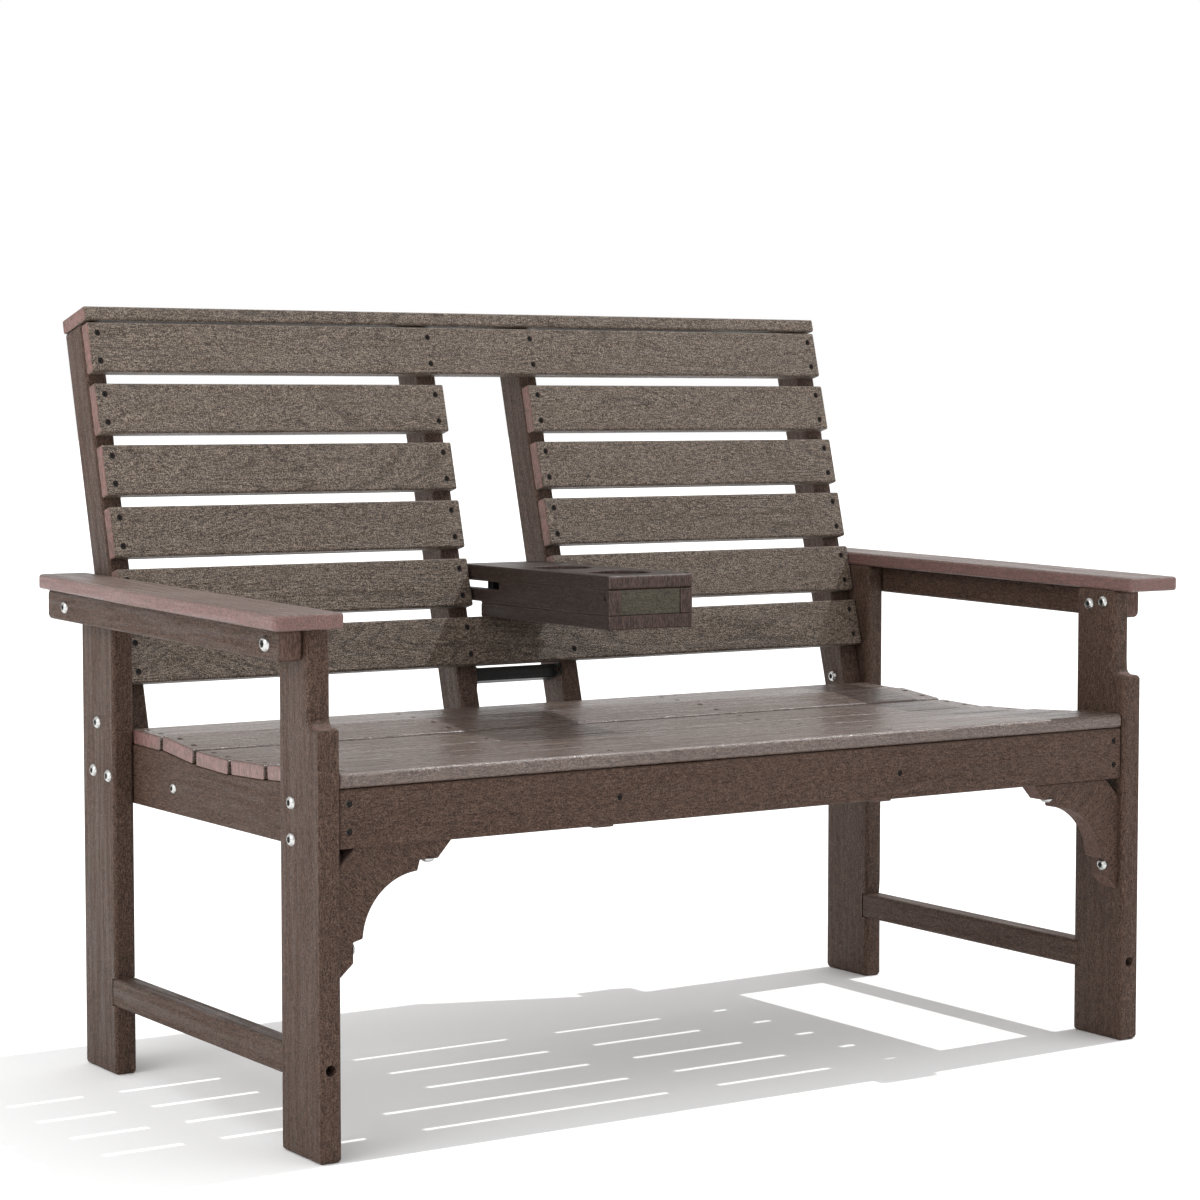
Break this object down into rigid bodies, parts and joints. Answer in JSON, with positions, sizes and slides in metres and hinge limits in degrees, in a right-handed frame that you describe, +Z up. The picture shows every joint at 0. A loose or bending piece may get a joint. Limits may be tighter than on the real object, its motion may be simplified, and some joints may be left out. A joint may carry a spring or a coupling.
{
  "type": "garden bench with folding tray",
  "caption": "Slatted garden bench of plastic lumber with wide armrests, corner brackets and a middle tray with cup holes that folds up into the backrest.",
  "frame": {"origin": "centre of the bounding box on the ground under the bench", "axes": "X across the bench to the right as seen by someone facing it, Y from the seat's front to its back, Z up"},
  "size_m": [1.322, 0.7502, 0.9553],
  "materials": {
    "frame_lumber": "brown recycled HDPE lumber, embossed wood grain",
    "seat_lumber": "brown recycled HDPE lumber, embossed wood grain, slight sheen from wear",
    "back_lumber": "brown recycled HDPE lumber, embossed wood grain",
    "arm_lumber": "brown recycled HDPE lumber, embossed wood grain, slight sheen from wear",
    "tray_lumber": "brown recycled HDPE lumber, embossed wood grain",
    "black_bar": "black moulded plastic",
    "bright_bolts": "stainless steel, low domed heads",
    "dark_screws": "dark coated screws sunk flush"
  },
  "bodies": {
    "frame": {"left_front_leg": "frame_lumber", "right_front_leg": "frame_lumber", "left_rear_leg": "frame_lumber", "right_rear_leg": "frame_lumber", "left_stretcher": "frame_lumber", "right_stretcher": "frame_lumber", "left_seat_rail": "frame_lumber", "right_seat_rail": "frame_lumber", "left_arm_rail": "frame_lumber", "right_arm_rail": "frame_lumber", "left_armrest": "arm_lumber", "right_armrest": "arm_lumber", "left_middle_support": "frame_lumber", "right_middle_support": "frame_lumber", "front_apron": "frame_lumber", "rear_cross_rail": "frame_lumber", "seat_slat_1": "seat_lumber", "seat_slat_2": "seat_lumber", "seat_slat_3": "seat_lumber", "seat_slat_4": "seat_lumber", "seat_slat_5": "seat_lumber", "seat_slat_6": "seat_lumber", "left_outer_stile": "frame_lumber", "right_outer_stile": "frame_lumber", "left_middle_stile": "frame_lumber", "right_middle_stile": "frame_lumber", "top_cap": "back_lumber", "back_slat_top": "back_lumber", "back_slat_bottom": "back_lumber", "left_back_slat_2": "back_lumber", "left_back_slat_3": "back_lumber", "left_back_slat_4": "back_lumber", "left_back_slat_5": "back_lumber", "right_back_slat_2": "back_lumber", "right_back_slat_3": "back_lumber", "right_back_slat_4": "back_lumber", "right_back_slat_5": "back_lumber", "left_corner_bracket": "frame_lumber", "right_corner_bracket": "frame_lumber", "tray_stop_bar": "black_bar", "leg_bolts": "bright_bolts", "arm_bolts": "bright_bolts", "bracket_bolts": "bright_bolts", "stretcher_screws": "dark_screws", "apron_screws": "dark_screws", "seat_screws": "dark_screws", "back_screws": "dark_screws", "stop_bar_screws": "dark_screws"},
    "pivot": {"tray_pivot_pins": "bright_bolts"},
    "tray": {"tray_bottom": "tray_lumber", "tray_top": "tray_lumber", "tray_left_side": "tray_lumber", "tray_right_side": "tray_lumber", "tray_end": "tray_lumber", "tray_block": "black_bar", "tray_screws": "dark_screws"}
  },
  "joints": [
    {"name": "tray_fold", "type": "hinge", "parent": "frame", "child": "pivot", "pos_m": [0, 0.25388, 0.59174], "axis": [-1, 0, 0], "range_deg": [0, 105]},
    {"name": "tray_slide", "type": "slide", "parent": "pivot", "child": "tray", "axis": [0, 1, 0], "range_m": [0, 0.104]}
  ],
  "couplings": [
    {"joint": "tray_slide", "follows": "tray_fold", "m_per_rad": 0.05674}
  ]
}
